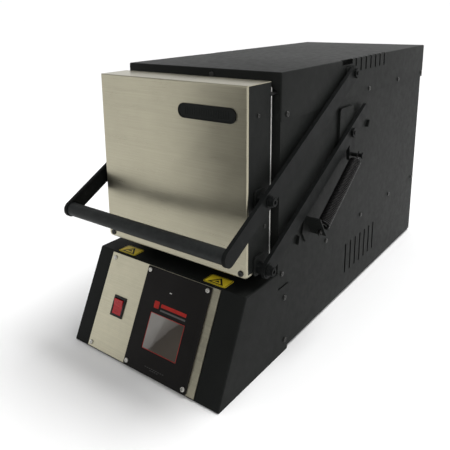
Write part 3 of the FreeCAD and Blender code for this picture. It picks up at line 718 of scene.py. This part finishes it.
def make_rocker():
    """The key with the two plain marks of a mains switch."""
    refine("rocker_key", 0.5, segments=3)
    refine("rocker_bezel", 0.35)
    hinge = Vector(joints["rocker_tilt"]["pos_m"])
    place = Matrix.Translation((centre("rocker_key").x, hinge.y, hinge.z))
    place = place @ Matrix.Rotation(SLOPE + KEY_TILT, 4, "X") @ Matrix.Scale(MM, 4)
    ring, bar = bmesh.new(), bmesh.new()
    outline_band(ring, rounded(5.0, 5.4, 2.49, 8), rounded(3.1, 3.5, 1.54, 8), *MARK_MM)
    placed(ring, Matrix.Translation((0, -MARK_UP_MM, KEY_FACE_MM)) @ Matrix.Rotation(-KEY_BEND, 4, "X"))
    slab(bar, rounded(1.1, 5.4, 0.5), *MARK_MM)
    placed(bar, Matrix.Translation((0, MARK_UP_MM, KEY_FACE_MM)) @ Matrix.Rotation(KEY_BEND, 4, "X"))
    absorb(ring, bar)
    piece("switch_marks", placed(ring, place), "rocker", "rocker_red")


def make_labels():
    """Two yellow labels on the ledge, each with a dark rim and a plain triangle."""
    refine("caution_plates", 0.08, segments=1)
    box_low, box_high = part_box("caution_plates")
    depth = (box_high.y - box_low.y) / MM
    tall, half = TRIANGLE_MM
    outer = [(-half, -tall / 2), (half, -tall / 2), (0, tall / 2)]
    inner = [(px * 0.62, py * 0.62 - 1.2) for px, py in outer]
    left, right = LABEL_WIDTHS_MM
    for side, x, width in (("left", box_low.x + left / 2 * MM, left),
                           ("right", box_high.x - right / 2 * MM, right)):
        place = Matrix.Translation((x, (box_low.y + box_high.y) / 2, box_high.z)) @ Matrix.Scale(MM, 4)
        shape = bmesh.new()
        outline_band(shape, rounded(width - 1.4, depth - 1.4, 2.3), rounded(width - 3.6, depth - 3.6, 1.4),
                     *INK_MM)
        outline_band(shape, outer, inner, *INK_MM)
        slab(shape, [(px * 0.3, py * 0.3 - 1.6) for px, py in outer], *INK_MM)
        piece(f"label_ink_{side}", placed(shape, place), "root", "caution_yellow", LABEL_INK)


make_screen()
make_prints()
make_rocker()
make_labels()
refine("steel_fascia", 0.2, FASCIA_STEEL)
refine("controller_plate", 0.35)


# ---- door badge -------------------------------------------------------------------------------
RIBS, RIB_WIDTH_MM, RIB_CORNER_MM, RIB_SHARE = 19, 1.6, 0.7, 0.55       # the share is of the plate's height
RIM_MM, FIELD_INSET_MM = 1.5, 1.3
RIM_RISE_MM, FIELD_RISE_MM, RIB_RISE_MM = 2.0, 1.1, 1.6


def make_badge():
    """A plain dark plate with a raised rim and a ribbed field."""
    box_low, box_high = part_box("door_badge")
    size = (box_high - box_low) / MM
    face = Matrix.Translation(((box_low.x + box_high.x) / 2, box_high.y, (box_low.z + box_high.z) / 2))
    face = face @ Matrix.Rotation(math.pi / 2, 4, "X") @ Matrix.Scale(MM, 4)
    shape = bmesh.new()
    radius = size.z / 2 - 0.5
    outer = rounded(size.x, size.z, radius, 10)
    inner = rounded(size.x - 2 * RIM_MM, size.z - 2 * RIM_MM, radius - RIM_MM, 10)
    outline_band(shape, outer, inner, 0, RIM_RISE_MM)
    field = rounded(size.x - 2 * FIELD_INSET_MM, size.z - 2 * FIELD_INSET_MM, radius - FIELD_INSET_MM, 10)
    slab(shape, field, 0, FIELD_RISE_MM)
    for k in range(RIBS):
        x = (k - RIBS // 2) * (size.x - size.z) / RIBS
        rib = rounded(RIB_WIDTH_MM, size.z * RIB_SHARE, RIB_CORNER_MM, 3)
        slab(shape, [(px + x, py) for px, py in rib], FIELD_RISE_MM - 0.1, RIB_RISE_MM)
    made = piece("badge_plate", placed(shape, face), "door", slot_of["door_badge"])
    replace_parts(made, "door_badge")
    bevelled(made, 0.25)


make_badge()
refine("grip_tube", 0.6, GRIP_PAINT)
refine("cable_gland", 0.4)


# ---- everything else --------------------------------------------------------------------------
WIDTHS_MM = {
    "lift_arm_left": 0.5, "lift_arm_right": 0.5, "lower_link_left": 0.5, "lower_link_right": 0.5,
    "door_skin": 0.15, "rubber_feet": 0.8, "door_insulation": 1.2, "insulation_wrap": 1.0,
    "transformer": 0.6, "relays": 0.5, "terminal_block": 0.5, "thermocouple": 0.5,
    "fascia_screws": 0.12, "case_screws": 0.12, "cover_screws": 0.12, "housing_screws": 0.12,
    "door_screws": 0.12,
}
shown_already = {name for made in bpy.data.objects for name in made.get("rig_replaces", [])}
for node in sorted(set(nodes) - shown_already):
    refine(node, WIDTHS_MM.get(node, BEVEL_MM))


# ---- floor, light and camera ------------------------------------------------------------------
FLOOR_SIZE = 30
FLAG_SIZE, FLAG_PLACE = (0.36, 0.44), (-0.09, -0.78, 0.23)


def make_floor():
    finish = Finish("floor paper", Specular_IOR_Level=0.0)
    finish.colour(finish.noise(400, 2), (0.3, (0.93, 0.93, 0.93)), (0.7, (0.95, 0.95, 0.95)))
    shape = bmesh.new()
    bmesh.ops.create_grid(shape, x_segments=4, y_segments=4, size=FLOOR_SIZE)
    floor = shown("floor", mesh_from(shape, "floor"), finish.material)


def make_flag():
    """A dark card off to the front, seen only in reflections, that shades the right of the door."""
    finish = Finish("flag cloth", Roughness=1.0)
    finish.colour(finish.noise(5, 2), (0.3, (0.07, 0.07, 0.07)), (0.7, (0.09, 0.09, 0.09)))
    shape = bmesh.new()
    slab(shape, rounded(*FLAG_SIZE, 0.02), 0, 0.01)
    flag = shown("flag", mesh_from(shape, "flag"), finish.material)
    flag.location = FLAG_PLACE
    flag.rotation_euler = (math.pi / 2, 0, 0)
    flag.visible_camera = False
    flag.visible_shadow = False
    flag.visible_diffuse = False


SKY_STRENGTH, SKY_BANDS = 1.02, ((0.3, 1.0), (0.6, 0.42))       # height on the sky and brightness there
SUN_ENERGY, SUN_ANGLE, SUN_AIM = 1.9, math.radians(26), Vector((-0.22, -0.44, -1))
PANEL_POWER, PANEL_SIZE, PANEL_PLACE, PANEL_AIM = 15, 2.2, Vector((0.3, 0.5, 2.2)), Vector((0, 0, 0.4))


def lamp(name, data, aim, place=(0, 0, 0)):
    made = bpy.data.objects.new(name, data)
    made.location = place
    made.rotation_euler = aim.to_track_quat("-Z", "Y").to_euler()
    bpy.context.scene.collection.objects.link(made)


def make_light():
    """A sky that is bright low down, a wide sun and one overhead panel."""
    world = bpy.data.worlds.new("studio")
    bpy.context.scene.world = world
    world.use_nodes = True
    tree = world.node_tree
    sky = tree.nodes["Background"]
    direction = tree.nodes.new("ShaderNodeTexCoord")
    split = tree.nodes.new("ShaderNodeSeparateXYZ")
    ramp = tree.nodes.new("ShaderNodeValToRGB")
    tree.links.new(direction.outputs["Generated"], split.inputs[0])
    tree.links.new(split.outputs["Z"], ramp.inputs[0])
    tree.links.new(ramp.outputs[0], sky.inputs["Color"])
    for band, (height, shade) in zip(ramp.color_ramp.elements, SKY_BANDS):
        band.position = height
        band.color = (shade, shade, shade, 1)
    sky.inputs["Strength"].default_value = SKY_STRENGTH

    sun = bpy.data.lights.new("sun", "SUN")
    sun.energy = SUN_ENERGY
    sun.angle = SUN_ANGLE
    lamp("sun", sun, SUN_AIM)
    panel = bpy.data.lights.new("overhead", "AREA")
    panel.shape = "RECTANGLE"
    panel.size = panel.size_y = PANEL_SIZE
    panel.energy = PANEL_POWER
    lamp("overhead", panel, PANEL_AIM - PANEL_PLACE, PANEL_PLACE)


CAMERA_PLACE = (0.5338, -0.9231, 0.5407)
YAW, PITCH, ROLL = math.radians(37.91), math.radians(13.70), math.radians(-0.86)
SENSOR_MM, LENS_MM, SHIFT = 36, 43.8, (0.0454, -0.1825)


def make_camera():
    data = bpy.data.cameras.new("camera")
    data.sensor_width = SENSOR_MM
    data.lens = LENS_MM
    data.shift_x, data.shift_y = SHIFT
    ahead = Vector((-math.sin(YAW) * math.cos(PITCH), math.cos(YAW) * math.cos(PITCH), -math.sin(PITCH)))
    right = Vector((math.cos(YAW), math.sin(YAW), 0))
    up = right.cross(ahead)
    c, s = math.cos(ROLL), math.sin(ROLL)
    turned_axes = Matrix((c * right + s * up, c * up - s * right, -ahead)).transposed()
    camera = bpy.data.objects.new("camera", data)
    camera.matrix_world = Matrix.Translation(CAMERA_PLACE) @ turned_axes.to_4x4()
    bpy.context.scene.collection.objects.link(camera)
    bpy.context.scene.camera = camera


make_floor()
make_flag()
make_light()
make_camera()
bpy.context.scene.view_settings.view_transform = "Standard"
